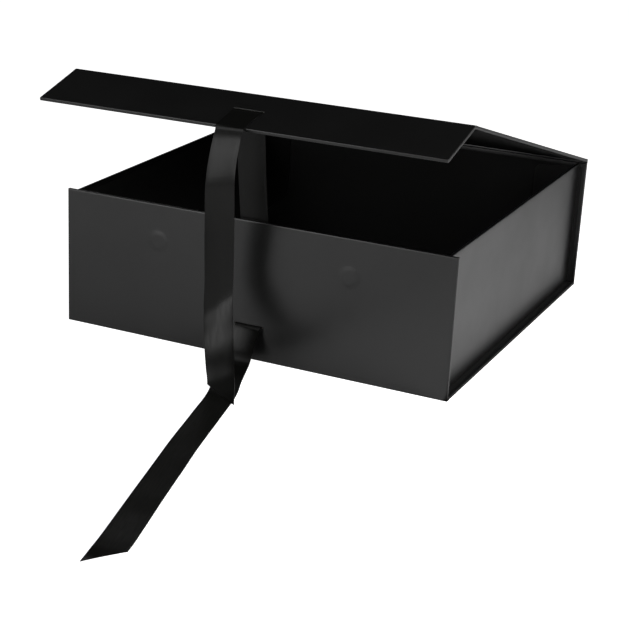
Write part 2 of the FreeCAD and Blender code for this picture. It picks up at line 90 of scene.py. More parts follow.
@dataclass(frozen=True)
class CaseSizes:
    """Sizes of the case that its panels share, with the two rest angles read from the joints."""

    width: float = 310 * MM
    depth: float = 300 * MM
    height: float = 104.5 * MM
    wrap: float = 2.4 * MM
    panel: float = 2.6 * MM
    lid_angle: float = math.radians(joint("lid_hinge")["range_deg"][1])
    flap_fold: float = math.radians(-joint("flap_hinge")["range_deg"][0])
    lid_axis: Vector = field(default_factory=lambda: Vector(joint("lid_hinge")["pos_m"]))
    flap_axis: Vector = field(default_factory=lambda: Vector(joint("flap_hinge")["pos_m"]))
    lid_drop: float = 1.1 * MM
    lid_length: float = 300.6 * MM
    flap_depth: float = 49 * MM
    flap_slit: float = 24 * MM
    front_slit: float = 26.2 * MM
    side_outer: float = 149 * MM
    side_top: float = 103.9 * MM

    @property
    def flap_tilt(self) -> float:
        """Angle of the flap below the level, at rest."""
        return self.flap_fold - self.lid_angle


CASE = CaseSizes()


# Looks: colours, nodes and finishes


def linear(code: str) -> tuple[float, float, float, float]:
    """Turns an sRGB hex colour into linear light.

    Args:
        code: Six hex digits, such as "0a0a0a".

    Returns:
        Red, green, blue and an alpha of one.
    """
    parts = [int(code[i:i + 2], 16) / 255 for i in (0, 2, 4)]
    bright = [c / 12.92 if c <= 0.04045 else ((c + 0.055) / 1.055) ** 2.4 for c in parts]
    return (bright[0], bright[1], bright[2], 1.0)


def add_node(tree: Tree, kind: str, links: dict | None = None, **settings: object) -> Node:
    """Adds a node with its settings and the links into it.

    Args:
        tree: The material's or the world's node tree.
        kind: The node's type, without the words that all shader nodes share.
        links: Input names or numbers, each with the socket that feeds it, or a node for its first one.
        settings: Attributes of the node, or values of its inputs where no attribute has the name.

    Returns:
        The new node.
    """
    node = tree.nodes.new(f"ShaderNode{kind}")
    for name, amount in settings.items():
        if hasattr(node, name):
            setattr(node, name, amount)
        else:
            node.inputs[name.replace("_", " ")].default_value = amount
    for name, source in (links or {}).items():
        tree.links.new(source.outputs[0] if isinstance(source, Node) else source, node.inputs[name])
    return node


def add_speckle(tree: Tree, grain_mm: float, **settings: object) -> Socket:
    """Adds noise in the object's own coordinates.

    Args:
        tree: The material's node tree.
        grain_mm: Size of its grains, in millimetres.
        settings: More settings of the noise.

    Returns:
        The noise's output.
    """
    links = {"Vector": add_node(tree, "TexCoord").outputs["Object"]}
    noise_node = add_node(tree, "TexNoise", links, Scale=MM_PER_METRE / grain_mm, **settings)
    return noise_node.outputs["Fac"]


@dataclass(frozen=True)
class Recipe:
    """A finish: its material's name, and how its nodes are laid."""

    name: str

    def lay(self, tree: Tree) -> Node:
        """Lays the finish's nodes in an empty tree and returns its surface shader."""
        raise NotImplementedError

    def build(self) -> Material:
        """Makes the finish's material.

        Returns:
            The material, with its surface joined to its output.
        """
        material = bpy.data.materials.new(self.name)
        material.use_nodes = True
        tree = material.node_tree
        tree.nodes.clear()
        add_node(tree, "OutputMaterial", {"Surface": self.lay(tree)})
        return material


@dataclass(frozen=True)
class SatinLaminate(Recipe):
    """Wrapping paper under a satin film: black, smooth, with a soft mirror at low angles."""

    name: str = "satin_laminated_wrapping_paper"
    colour: str = "0a0a0a"
    roughness: float = 0.3
    fibre_mm: float = 1.6
    swell_mm: float = 34.0

    def lay(self, tree: Tree) -> Node:
        """Lays a film that follows the paper's fibres and is duller in slow patches."""
        fibre = add_speckle(tree, self.fibre_mm, Detail=3.0, Roughness=0.6)
        swell = add_speckle(tree, self.swell_mm, Detail=2.0)
        rough = add_node(
            tree, "MapRange", {"Value": swell},
            From_Min=0.3, From_Max=0.7, To_Min=self.roughness - 0.02, To_Max=self.roughness + 0.03,
        )
        grain = add_node(tree, "Bump", {"Height": fibre}, Strength=0.05, Distance=0.05 * MM)
        links = {"Roughness": rough, "Normal": grain}
        return add_node(tree, "BsdfPrincipled", links, Base_Color=linear(self.colour), IOR=1.5)


@dataclass(frozen=True)
class MottledStock(Recipe):
    """Bare stock: two tones and a relief that follow one grain, on one roughness."""

    colour: str
    fleck: str
    roughness: float
    grain_mm: float
    metallic: float = 0.0
    detail: float = 5.0
    grain_roughness: float = 0.5
    relief: float = 0.15
    relief_depth: float = 0.1 * MM
    ior: float = 1.5
    shine: float = 0.5

    def lay(self, tree: Tree) -> Node:
        """Lays a surface that is mottled at the size of its grain."""
        grain = add_speckle(tree, self.grain_mm, Detail=self.detail, Roughness=self.grain_roughness)
        tone = add_node(tree, "Mix", {"Factor": grain}, data_type="RGBA")
        tone.inputs[COLOUR_A].default_value = linear(self.colour)
        tone.inputs[COLOUR_B].default_value = linear(self.fleck)
        lift = add_node(tree, "Bump", {"Height": grain}, Strength=self.relief, Distance=self.relief_depth)
        return add_node(
            tree, "BsdfPrincipled", {"Base Color": tone.outputs[COLOUR_MIXED], "Normal": lift},
            Roughness=self.roughness, Metallic=self.metallic, IOR=self.ior, Specular_IOR_Level=self.shine,
        )


@dataclass(frozen=True)
class WovenSatin(Recipe):
    """Polyester satin ribbon: dark and softly shining, with warp and weft too fine to stand out."""

    name: str = "woven_satin_ribbon"
    colour: str = "060605"
    roughness: float = 0.33
    warp_mm: float = 0.7
    weft_mm: float = 1.1
    wave_rate: float = 3.14
    float_stretch: tuple[float, float, float] = (900.0, 60.0, 1.0)

    def lay(self, tree: Tree) -> Node:
        """Lays the weave on the ribbon's own map: metres across and metres along."""
        lay = add_node(tree, "UVMap", uv_map="weave").outputs["UV"]
        warp = add_node(
            tree, "TexWave", {"Vector": lay}, bands_direction="X",
            Scale=MM_PER_METRE / self.warp_mm / self.wave_rate, Distortion=1.2, Detail=2.0,
        )
        weft = add_node(
            tree, "TexWave", {"Vector": lay}, bands_direction="Y",
            Scale=MM_PER_METRE / self.weft_mm / self.wave_rate, Distortion=2.0, Detail=1.0,
        )
        stretch = add_node(tree, "Mapping", {"Vector": lay}, Scale=self.float_stretch)
        floats = add_node(tree, "TexNoise", {"Vector": stretch}, Scale=1.0, Detail=3.0)
        weave = add_node(tree, "Math", {0: warp.outputs["Fac"], 1: weft.outputs["Fac"]}, operation="ADD")
        rough = add_node(
            tree, "MapRange", {"Value": floats.outputs["Fac"]},
            From_Min=0.3, From_Max=0.7, To_Min=self.roughness - 0.05, To_Max=self.roughness + 0.07,
        )
        normal = add_node(tree, "Bump", {"Height": weave}, Strength=0.06, Distance=0.05 * MM)
        return add_node(
            tree, "BsdfPrincipled", {"Roughness": rough, "Normal": normal},
            Base_Color=linear(self.colour), IOR=1.5, Specular_IOR_Level=0.2,
        )


class Finish(Enum):
    """The finishes of the box, each made once."""

    COVER = SatinLaminate()
    LINING = MottledStock(
        "uncoated_black_lining_paper", "0b0b0b", "101010", 0.62, 0.9, detail=4.0, grain_roughness=0.7,
        relief=0.2, relief_depth=0.05 * MM, ior=1.45, shine=0.25,
    )
    RIBBON = WovenSatin()
    GREYBOARD = MottledStock("recycled_greyboard", "8c8378", "a49a8c", 0.9, 2.0)
    ADHESIVE = MottledStock("double_sided_adhesive_tape", "c9c2ae", "ddd6c4", 0.45, 6.0)
    NICKEL = MottledStock("nickel_plated_magnet", "c9c6bf", "dcd9d2", 0.28, 3.0, 1.0)

    def material(self) -> Material:
        """Returns the finish's material, made on first use."""
        found = bpy.data.materials.get(self.value.name)
        return found if found is not None else self.value.build()


def dress(piece: Piece, finish: Finish) -> None:
    """Gives a piece one finish.

    Args:
        piece: The piece or CAD node.
        finish: The finish it takes.
    """
    if piece.data.materials:
        for index in range(len(piece.data.materials)):
            piece.data.materials[index] = finish.material()
    else:
        piece.data.materials.append(finish.material())


# Modelling helpers


def deselect() -> None:
    """Clears the selection, so that the next operator takes its own piece alone."""
    for other in bpy.context.selected_objects:
        other.select_set(False)


def only(piece: Piece) -> None:
    """Makes a piece the one selected and active object.

    Args:
        piece: The piece to work on.
    """
    deselect()
    piece.select_set(True)
    bpy.context.view_layer.objects.active = piece


def apply_modifier(piece: Piece, kind: str, **settings: object) -> None:
    """Adds a modifier, sets it and applies it.

    Args:
        piece: The piece to change.
        kind: The modifier's type.
        settings: Its attributes.
    """
    modifier = piece.modifiers.new(kind.lower(), kind)
    for name, amount in settings.items():
        setattr(modifier, name, amount)
    only(piece)
    bpy.ops.object.modifier_apply(modifier=modifier.name)


def settle(piece: Piece, placement: Matrix) -> None:
    """Moves a piece into the box's frame, with its place in its mesh.

    Args:
        piece: The piece, modelled in its own frame.
        placement: Where that frame lies in the box's frame.
    """
    piece.matrix_world = placement @ piece.matrix_world
    only(piece)
    bpy.ops.object.transform_apply(location=True, rotation=True, scale=True)


def add_grid(name: str, size: tuple[float, float], centre: tuple[float, float], pitch: float) -> Piece:
    """Adds a flat grid of nearly square cells.

    Args:
        name: The piece's name.
        size: Width and height.
        centre: Middle of the grid.
        pitch: Side of a cell.

    Returns:
        The grid, at the origin with its place in its mesh.
    """
    deselect()
    columns, rows = (max(2, round(side / pitch)) for side in size)
    bpy.ops.mesh.primitive_grid_add(
        x_subdivisions=columns, y_subdivisions=rows, size=1.0, location=(*centre, 0.0),
    )
    grid = bpy.context.active_object
    grid.name = name
    grid.scale = (*size, 1.0)
    bpy.ops.object.transform_apply(location=True, rotation=True, scale=True)
    return grid


def round_edges(piece: Piece, radius: float, segments: int) -> None:
    """Rounds a piece's sharp edges.

    Args:
        piece: The piece to change.
        radius: The rounds' radius.
        segments: Faces across each round.
    """
    apply_modifier(
        piece, "BEVEL", width=radius, segments=segments, limit_method="ANGLE", angle_limit=BEVEL_ANGLE,
    )


def edit_mesh(piece: Piece, operator: Callable, **settings: object) -> None:
    """Runs a mesh operator on the whole of a piece.

    Args:
        piece: The piece to change.
        operator: The operator.
        settings: Its settings.
    """
    only(piece)
    bpy.ops.object.mode_set(mode="EDIT")
    bpy.ops.mesh.select_all(action="SELECT")
    operator(**settings)
    bpy.ops.object.mode_set(mode="OBJECT")


def smooth(piece: Piece, degrees: float = 40.0) -> None:
    """Shades a piece smooth across its gentle edges.

    Args:
        piece: The piece.
        degrees: Sharpest edge that still shades smooth.
    """
    only(piece)
    bpy.ops.object.shade_smooth_by_angle(angle=math.radians(degrees))


def add_block(low: Sequence[float], high: Sequence[float]) -> Piece:
    """Adds a box between two corners.

    Args:
        low: Its lowest corner.
        high: Its highest corner.

    Returns:
        The box, at the origin with its place in its mesh.
    """
    deselect()
    bpy.ops.mesh.primitive_cube_add(size=1.0, location=[(a + b) / 2 for a, b in zip(low, high)])
    solid = bpy.context.active_object
    solid.scale = [b - a for a, b in zip(low, high)]
    bpy.ops.object.transform_apply(location=True, rotation=True, scale=True)
    return solid


def cut_box(piece: Piece, low: Sequence[float], high: Sequence[float], inside: Finish) -> None:
    """Cuts a box-shaped hole into a piece that already has its finish.

    Args:
        piece: The piece to cut.
        low: Lowest corner of the hole.
        high: Highest corner of the hole.
        inside: The finish that shows on the hole's walls.
    """
    cutter = add_block(low, high)
    dress(cutter, inside)
    apply_modifier(
        piece, "BOOLEAN", operation="DIFFERENCE", object=cutter, solver="EXACT", material_mode="TRANSFER",
    )
    bpy.data.objects.remove(cutter, do_unlink=True)


# Wrapped panels


@dataclass
class WrappedPanel:
    """A board wrapped in satin laminate: its cover is modelled, its lining and board are the CAD's.

    The panel's own frame has its outer face at zero and its lining towards +Z.
    """

    name: str
    edges: tuple[float, float, float, float]
    placement: Matrix
    thickness: float = CASE.wrap
    edge_radius: float = 0.6 * MM
    pitch: float = 4 * MM
    swell: float = 0.05 * MM
    swell_length: float = 90 * MM
    swell_fade: float = 12 * MM
    swell_across: float = 4
    seed_step: float = 3.1
    rim_share: float = 1.2
    slit_at: float | None = None
    slit_size: tuple[float, float] = (23 * MM, 1.0 * MM)
    domes_at: float | None = None
    dome_spacing: float = 153.5 * MM
    dome_radius: float = 8 * MM
    dome_height: float = 0.3 * MM
    dome_slope: float = 0.28
    dome_side: int = -1

    def shape_outer(self, piece: Piece) -> None:
        """Lets the faces swell slowly, and raises the low rounds over the magnets.

        Args:
            piece: The panel's solid, in the panel's own frame.
        """
        left, right, low, high = self.edges
        seed = Vector((len(self.name) * self.seed_step, 0.0, 0.0))
        for vertex in piece.data.vertices:
            spot = vertex.co
            inset = min(spot.x - left, right - spot.x, spot.y - low, high - spot.y)
            if inset < self.edge_radius * self.rim_share:
                continue
            fade = min(1.0, inset / self.swell_fade)
            spread = Vector((spot.x, spot.y, spot.z * self.swell_across)) / self.swell_length + seed
            spot.z += self.swell * fade * noise.noise(spread)
            if self.domes_at is None or (spot.z < self.thickness / 2) != (self.dome_side < 0):
                continue
            for across in (-self.dome_spacing / 2, self.dome_spacing / 2):
                away = math.hypot(spot.x - across, spot.y - self.domes_at) / self.dome_radius
                if away < 1.0:
                    level = min(1.0, (1.0 - away) / self.dome_slope)
                    spot.z += self.dome_side * self.dome_height * level * level * (3 - 2 * level)

    def build(self, body: str) -> Piece:
        """Models the wrapped cover, sets it in the box and dresses the panel.

        Args:
            body: The moving body that the panel belongs to.

        Returns:
            The cover's object.
        """
        left, right, low, high = self.edges
        size = (right - left, high - low)
        piece = add_grid(f"{self.name}_wrap", size, ((left + right) / 2, (low + high) / 2), self.pitch)
        apply_modifier(piece, "SOLIDIFY", thickness=self.thickness, offset=1.0)
        round_edges(piece, self.edge_radius, 4)
        self.shape_outer(piece)
        dress(piece, Finish.COVER)
        if self.slit_at is not None:
            length, width = self.slit_size
            corner = (-length / 2, self.slit_at - width / 2, -self.thickness)
            far = (length / 2, self.slit_at + width / 2, 2 * self.thickness)
            cut_box(piece, corner, far, Finish.GREYBOARD)
        settle(piece, self.placement)
        smooth(piece)
        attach(piece, body)
        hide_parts(f"{self.name}_cover")
        dress(frame["nodes"][f"{self.name}_lining"], Finish.LINING)
        dress(frame["nodes"][f"{self.name}_board"], Finish.GREYBOARD)
        log.info("%s: wrapped cover, lining and board", self.name)
        return piece


@dataclass
class SlitLip:
    """The cut edge of a slit, pressed up a little where the ribbon comes out."""

    name: str
    length: float = 23.6 * MM
    depth: float = 1.1 * MM
    rise: float = 0.6 * MM
    root: float = 0.18 * MM
    slit_half: float = 0.5 * MM
    edge_radius: float = 0.25 * MM

    def build(self, placement: Matrix, slit_at: float, body: str) -> None:
        """Models the lip and sets it beside its slit.

        Args:
            placement: The panel's own frame in the box's frame.
            slit_at: The slit's place in that frame.
            body: The moving body that the panel belongs to.
        """
        edge = slit_at - self.slit_half
        piece = add_block(
            (-self.length / 2, edge - self.depth, -self.rise), (self.length / 2, edge, self.root),
        )
        piece.name = self.name
        round_edges(piece, self.edge_radius, 3)
        dress(piece, Finish.COVER)
        settle(piece, placement)
        smooth(piece)
        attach(piece, body)
        log.info("%s: ridge of paper at the slit", self.name)


@dataclass
class Case:
    """The book-style case: front wall, base, back wall, lid and flap, all one width."""

    fold_gap: float = 0.4 * MM
    lid_edge_gap: float = 0.3 * MM
    flap_edge_gap: float = 0.3 * MM
    magnet_drop: float = 28.5 * MM
    lid_gap: float = 0.6 * MM
    paper_lift: float = 0.02 * MM
    paper_overlap: float = 1.5 * MM
    paper_stop: float = 0.9 * MM
    rear_points: Pairs = ((0.0, -3.2), (0.05, -1.0), (0.45, 1.4))
    lid_root_points: Pairs = ((0.4, 0.1), (2.0, -0.02), (3.4, 0.0))
    lid_nose_points: Pairs = ((-3.6, 0.0), (-1.8, -0.02), (-0.1, -0.03))
    flap_root_points: Pairs = ((0.3, -0.03), (2.0, -0.02), (3.8, 0.0))

    def span(self, low: float, high: float) -> tuple[float, float, float, float]:
        """Edges of a panel of the case's full width between two places along it."""
        return (-CASE.width / 2, CASE.width / 2, low, high)

    def lid_placement(self) -> Matrix:
        """Where the lid's own frame lies at rest."""
        rise = CASE.panel - CASE.lid_drop
        offset = Matrix.Translation(CASE.lid_axis)
        turn = Matrix.Rotation(math.pi - CASE.lid_angle, 4, "X")
        return offset @ turn @ Matrix.Translation((0, 0, -rise))

    def flap_placement(self) -> Matrix:
        """Where the flap's own frame lies at rest."""
        offset = Matrix.Translation(CASE.flap_axis)
        turn = Matrix.Rotation(math.pi + CASE.flap_tilt, 4, "X")
        return offset @ turn @ Matrix.Translation((0, 0, -CASE.panel))

    def build(self) -> None:
        """Builds the five panels and the folds between them."""
        reach = CASE.depth / 2 - CASE.panel - self.fold_gap
        half = CASE.depth / 2
        WrappedPanel("base", self.span(-reach, reach), Matrix.Identity(4), pitch=8 * MM).build("base")
        front = Matrix.Translation((0, -half, 0)) @ Matrix.Rotation(-math.pi / 2, 4, "X")
        WrappedPanel(
            "front_wall", self.span(-CASE.height, 0), front, pitch=1.6 * MM, slit_at=-CASE.front_slit,
            domes_at=-(CASE.height + self.lid_gap - self.magnet_drop),
        ).build("front_wall")
        back = Matrix.Translation((0, half, 0)) @ Matrix.Rotation(math.pi / 2, 4, "X")
        WrappedPanel("back_wall", self.span(0, CASE.height), back).build("back_wall")
        WrappedPanel("lid", self.span(self.lid_edge_gap, CASE.lid_length), self.lid_placement()).build("lid")
        WrappedPanel(
            "flap", self.span(self.flap_edge_gap, CASE.flap_depth), self.flap_placement(), pitch=2 * MM,
            slit_at=CASE.flap_slit, edge_radius=0.4 * MM,
        ).build("flap")
        for panel in ("front_wall", "flap"):
            for side in ("left", "right"):
                dress(frame["nodes"][f"{panel}_magnet_{side}"], Finish.NICKEL)
        self.build_folds()
        SlitLip("flap_slit_lip").build(self.flap_placement(), CASE.flap_slit, "flap")

    def build_folds(self) -> None:
        """Builds the cover paper where it runs from board to board, along points in millimetres."""
        half = CASE.depth / 2
        inner = half - CASE.panel - self.fold_gap
        for name, side in (("fold_front", -1), ("fold_back", 1)):
            course = [
                Vector((0, side * (inner - self.paper_overlap), self.paper_lift)),
                Vector((0, side * (half - self.paper_stop), self.paper_lift)),
            ]
            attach(PaperFold(name, course, Vector((0, 0, 1))).build(), "base")
        lid = self.lid_placement()
        flap = self.flap_placement()
        rear = [Vector((0, half + y * MM, CASE.height + z * MM)) for y, z in self.rear_points]
        rear += [lid @ Vector((0, y * MM, z * MM)) for y, z in self.lid_root_points]
        strip = PaperFold("fold_lid", rear, Vector((0, 1, 0))).build()
        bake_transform(strip)
        nose = [lid @ Vector((0, CASE.lid_length + y * MM, z * MM)) for y, z in self.lid_nose_points]
        nose += [flap @ Vector((0, y * MM, z * MM)) for y, z in self.flap_root_points]
        strip = PaperFold("fold_flap", nose, Vector((0, -0.4, 1))).build()
        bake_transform(strip)


class Course:
    """A smooth course through a few chosen points, read by its length."""

    def __init__(self, points: Sequence[Vector], marks: Sequence[float] | None = None) -> None:
        """Lays the course.

        Args:
            points: The chosen points.
            marks: Lengths at which they are reached, or None for the straight gaps added up.
        """
        self.points = [point.copy() for point in points]
        self.marks = list(marks) if marks is not None else [0.0]
        if marks is None:
            for before, after in zip(self.points, self.points[1:]):
                self.marks.append(self.marks[-1] + (after - before).length)
        gaps = [after - before for before, after in zip(self.marks, self.marks[1:])]
        pairs = zip(self.points, self.points[1:], gaps)
        rates = [(after - before) / gap for before, after, gap in pairs]
        self.slopes = [rates[0]]
        for index in range(1, len(rates)):
            before, after = gaps[index - 1], gaps[index]
            self.slopes.append((rates[index - 1] * after + rates[index] * before) / (before + after))
        self.slopes.append(rates[-1])

    @property
    def length(self) -> float:
        """Length of the whole course."""
        return self.marks[-1]

    def at(self, along: float) -> Vector:
        """The point at a length along the course, which runs on straight past its ends.

        Args:
            along: Length from the start.

        Returns:
            The point.
        """
        if along <= 0.0:
            return self.points[0] + self.slopes[0] * along
        if along >= self.length:
            return self.points[-1] + self.slopes[-1] * (along - self.length)
        index = bisect_right(self.marks, along) - 1
        gap = self.marks[index + 1] - self.marks[index]
        share = (along - self.marks[index]) / gap
        rest = 1.0 - share
        near = self.points[index] * (1 + 2 * share) + self.slopes[index] * gap * share
        far = self.points[index + 1] * (3 - 2 * share) - self.slopes[index + 1] * gap * rest
        return near * rest * rest + far * share * share

    def ahead(self, along: float) -> Vector:
        """Unit direction of the course at a length along it."""
        return (self.at(along + PROBE) - self.at(along - PROBE)).normalized()


@dataclass
class PaperFold:
    """The cover paper where it bends from one board to the next, across the whole case."""

    name: str
    course: list[Vector]
    outward: Vector
    paper: float = 0.3 * MM
    end_gap: float = 0.3 * MM
    steps: int = 24
    flat_angle: float = 0.01

    def build(self) -> Piece:
        """Models the bend: a flat grid laid along the course and given the paper's thickness.

        Returns:
            The bend, dressed and standing for its CAD node.
        """
        way = Course(self.course)
        width = CASE.width - self.end_gap
        piece = add_grid(f"{self.name}_paper", (width, 1.0), (0.0, 0.5), 1.0 / self.steps)
        for vertex in piece.data.vertices:
            spot = way.at(vertex.co.y * way.length)
            vertex.co = Vector((vertex.co.x, spot.y, spot.z))
        edit_mesh(piece, bpy.ops.mesh.dissolve_limited, angle_limit=math.radians(self.flat_angle))
        middle = piece.data.polygons[len(piece.data.polygons) // 2]
        if middle.normal.dot(self.outward) < 0:
            piece.data.flip_normals()
        apply_modifier(piece, "SOLIDIFY", thickness=self.paper, offset=-1.0)
        smooth(piece, degrees=50)
        dress(piece, Finish.COVER)
        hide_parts(self.name)
        log.info("%s: bend of the cover paper", self.name)
        return piece


# Tray: side walls and their corner flaps


@dataclass
class SideWall:
    """One side wall, set in from the end of the case, with its paper hinge and corner flaps."""

    side: str
    foot: float = 2.8 * MM
    end_gap: float = 0.2 * MM
    tape_end: float = 8 * MM
    tape: float = 0.2 * MM
    tape_steps: int = 22
    tape_bend: float = 2 * MM
    tape_points: Pairs = (
        (10.0, 0.02), (5.0, 0.02), (1.2, 0.25), (0.25, 1.2), (0.02, 5.0), (0.02, 10.0),
    )
    inner: float = CASE.side_outer - CASE.panel

    @property
    def sign(self) -> int:
        """Minus one on the left, one on the right."""
        return -1 if self.side == "left" else 1

    def build(self) -> None:
        """Builds the wall, its hinge tape and its corner flaps."""
        name = f"{self.side}_wall"
        reach = CASE.depth / 2 - CASE.panel - self.end_gap
        half_turn = Matrix.Rotation(0.0 if self.side == "left" else math.pi, 4, "Z")
        stand = Matrix.Rotation(math.pi / 2, 4, "Y")
        placement = Matrix.Translation((self.sign * CASE.side_outer, 0, 0)) @ half_turn @ stand
        WrappedPanel(name, (-CASE.side_top, -self.foot, -reach, reach), placement).build(name)
        self.build_tape(reach - self.tape_end)
        for end in ("front", "back"):
            dress(frame["nodes"][f"{end}_{self.side}_corner_flap"], Finish.COVER)
            dress(frame["nodes"][f"{end}_{self.side}_corner_tape"], Finish.ADHESIVE)

    def build_tape(self, reach: float) -> None:
        """Models the paper tape along the inner corner, which bends as the wall folds in.

        Its points are millimetres from the wall and above the floor.

        Args:
            reach: Half the tape's length.
        """
        near = self.sign * self.inner
        floor = CASE.panel
        inward = -self.sign
        course = Course([
            Vector((near + inward * away * MM, 0, floor + height * MM)) for away, height in self.tape_points
        ])
        name = f"{self.side}_wall_hinge_tape"
        piece = add_grid(f"{name}_paper", (1.0, 2 * reach), (0.5, 0.0), 1.0 / self.tape_steps)
        for vertex in piece.data.vertices:
            spot = course.at(vertex.co.x * course.length)
            vertex.co = Vector((spot.x, vertex.co.y, spot.z))
        if piece.data.polygons[0].normal.z < 0:
            piece.data.flip_normals()
        apply_modifier(piece, "SOLIDIFY", thickness=self.tape, offset=1.0)
        smooth(piece, degrees=50)
        dress(piece, Finish.LINING)
        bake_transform(piece)
        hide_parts(name)
        log.info("%s: paper hinge", name)


# Ribbon


class Band:
    """The ribbon's two edges, laid as one: each station is a straight line across it."""

    def __init__(self, stations: Sequence[Edges]) -> None:
        """Lays both edges.

        Args:
            stations: Left and right edge points, from the band's start to its end.
        """
        middle = Course([(left + right) / 2 for left, right in stations])
        self.middle = middle
        self.left = Course([left for left, _ in stations], middle.marks)
        self.right = Course([right for _, right in stations], middle.marks)

    @classmethod
    def level(cls, points: Sequence[Vector], width: float) -> "Band":
        """Lays a band that is level from edge to edge, along a line of middle points.

        Args:
            points: The middle points.
            width: The band's width.

        Returns:
            The band.
        """
        line = Course(points)
        stations = []
        for mark, point in zip(line.marks, points):
            ahead = line.ahead(min(max(mark, PROBE), line.length - PROBE))
            aside = Vector((1, 0, 0)) - ahead * ahead.x
            aside.normalize()
            stations.append((point - aside * width / 2, point + aside * width / 2))
        return cls(stations)

    @property
    def length(self) -> float:
        """Length of the band along its middle."""
        return self.middle.length

    def at(self, along: float, share: float = 0.0) -> Vector:
        """A point of the band.

        Args:
            along: Length from the start.
            share: Place across, from -1 at the left edge to 1 at the right.

        Returns:
            The point.
        """
        return self.left.at(along).lerp(self.right.at(along), (share + 1) / 2)

    def face(self, along: float, share: float, toward: Vector) -> Vector:
        """Unit vector off the band's face, on the side of a given direction.

        Args:
            along: Length from the start.
            share: Place across.
            toward: A direction on the side that is wanted.

        Returns:
            The unit vector.
        """
        ahead = self.at(along + PROBE, share) - self.at(along - PROBE, share)
        normal = (self.right.at(along) - self.left.at(along)).cross(ahead).normalized()
        return -normal if normal.dot(toward) < 0 else normal


@dataclass(frozen=True)
class Ripple:
    """How a limp strip stands off its plain course: a cup across it and small waves along it."""

    start: float
    fade: float
    cup: float
    cup_rest: float
    wave: float
    across: float
    pitch: float
    seed: float

    def at(self, along: float, share: float) -> float:
        """How far the strip stands off.

        Args:
            along: Length along the band.
            share: Place across, from -1 at the left edge to 1 at the right.

        Returns:
            The distance, off the face.
        """
        grown = min(1.0, max(0.0, (along - self.start) / self.fade))
        wave = noise.noise(Vector((share * self.across, along / self.pitch, self.seed)))
        return grown * (self.cup * (share * share - self.cup_rest) + self.wave * wave)


@dataclass
class RibbonStrip:
    """One stretch of the satin ribbon, from one length along a band to another."""

    name: str
    band: Band
    facing: Vector
    held: str = "hung"
    rests_on: str = "flap_wrap"
    start: float = 0.0
    end: float | None = None
    width: float = 22 * MM
    thickness: float = 0.35 * MM
    step: float = 2.0 * MM
    across: int = 14
    selvedge_from: float = 0.9
    selvedge_gain: float = 1.5
    least_flat: float = 10.1 * MM
    left_cut: float = 0.0
    right_cut: float = 0.0
    ripple: Ripple | None = None

    def build(self) -> Piece:
        """Models the strip as a closed band with a slightly thicker selvedge.

        Returns:
            The strip's object, dressed.
        """
        end = self.band.length if self.end is None else self.end
        rows = max(8, round((end - self.start) / self.step))
        columns = self.across
        shares = [-1 + 2 * index / columns for index in range(columns + 1)]
        ring = [(share, 1) for share in shares] + [(share, -1) for share in reversed(shares)]
        points: list[Vector] = []
        lays: list[tuple[float, float]] = []
        for row in range(rows + 1):
            for share, side in ring:
                stop = end - self.right_cut * (share + 1) / 2 - self.left_cut * (1 - share) / 2
                along = self.start + (stop - self.start) * row / rows
                rim = 1.0 if abs(share) < self.selvedge_from else self.selvedge_gain
                lift = side * self.thickness / 2 * rim
                if self.ripple is not None:
                    lift += self.ripple.at(along, share)
                face = self.band.face(along, share, self.facing)
                points.append(self.band.at(along, share) + face * lift)
                lays.append((share * self.width / 2, along))
        count = len(ring)
        faces: list[tuple[int, ...]] = []
        for row in range(rows):
            low, high = row * count, (row + 1) * count
            for index in range(count):
                after = (index + 1) % count
                faces.append((low + index, low + after, high + after, high + index))
        faces.append(tuple(range(count))[::-1])
        faces.append(tuple(rows * count + index for index in range(count)))
        mesh = bpy.data.meshes.new(self.name)
        mesh.from_pydata([tuple(point) for point in points], [], faces)
        lay = mesh.uv_layers.new(name="weave")
        for loop in mesh.loops:
            lay.data[loop.index].uv = lays[loop.vertex_index]
        piece = bpy.data.objects.new(f"{self.name}_satin", mesh)
        bpy.context.scene.collection.objects.link(piece)
        edit_mesh(piece, bpy.ops.mesh.normals_make_consistent, inside=False)
        smooth(piece, degrees=60)
        dress(piece, Finish.RIBBON)
        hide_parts(self.name)
        return piece


